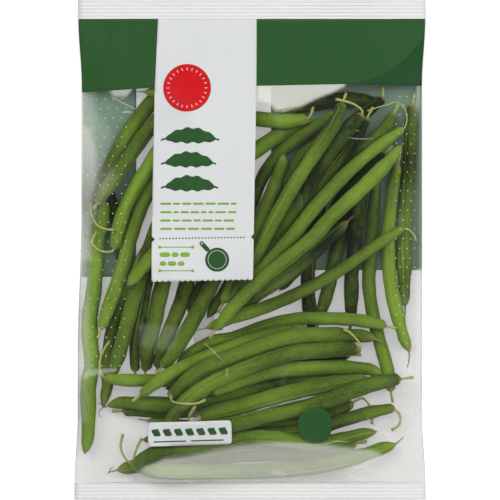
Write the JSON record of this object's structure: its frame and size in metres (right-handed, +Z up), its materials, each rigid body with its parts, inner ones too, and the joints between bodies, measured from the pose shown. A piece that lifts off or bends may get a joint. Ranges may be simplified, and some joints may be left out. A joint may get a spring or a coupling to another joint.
{
  "type": "bag of green beans",
  "caption": "Whole green beans lying criss-cross in a clear film pillow bag with a crimped seal at each end, laid on its back.",
  "frame": {"origin": "middle of the bag's plan, on the surface that its back rests on", "axes": "+Z up out of the printed front, +Y along the bag towards its upper seal, +X to the right of the front"},
  "size_m": [0.1844, 0.2584, 0.0407],
  "materials": {
    "bean_skin": "satin fresh bean skin",
    "bean_deep": "satin fresh bean skin, deeper green",
    "clear_film": "clear printed polypropylene film",
    "print_green": "dark green ink on film",
    "print_white": "off-white ink on film"
  },
  "bodies": {
    "root": {"bean_01": "bean_deep", "bean_02": "bean_deep", "bean_03": "bean_deep", "bean_04": "bean_deep", "bean_05": "bean_deep", "bean_06": "bean_deep", "bean_07": "bean_deep", "bean_08": "bean_deep", "bean_09": "bean_deep", "bean_10": "bean_deep", "bean_11": "bean_deep", "bean_12": "bean_deep", "bean_13": "bean_deep", "bean_14": "bean_deep", "bean_15": "bean_skin", "bean_16": "bean_deep", "bean_17": "bean_deep", "bean_18": "bean_deep", "bean_19": "bean_deep", "bean_20": "bean_skin", "bean_21": "bean_skin", "bean_22": "bean_skin", "bean_23": "bean_skin", "bean_24": "bean_skin", "bean_25": "bean_skin", "bean_26": "bean_skin", "bean_27": "bean_skin", "bean_28": "bean_skin", "bean_29": "bean_skin", "bean_30": "bean_skin", "bean_31": "bean_skin", "bean_32": "bean_skin", "bean_33": "bean_skin", "bean_34": "bean_skin", "bean_35": "bean_skin", "bean_36": "bean_skin", "bean_37": "bean_skin", "bean_38": "bean_skin", "bean_39": "bean_skin", "bean_40": "bean_skin", "bean_41": "bean_skin", "bean_42": "bean_skin", "bean_43": "bean_skin", "bean_44": "bean_skin", "bean_45": "bean_skin", "bean_46": "bean_skin", "bean_47": "bean_skin", "bean_48": "bean_skin", "bean_49": "bean_skin", "bean_50": "bean_skin", "bean_51": "bean_skin", "bean_52": "bean_skin", "film_bag": "clear_film"}
  },
  "joints": []
}
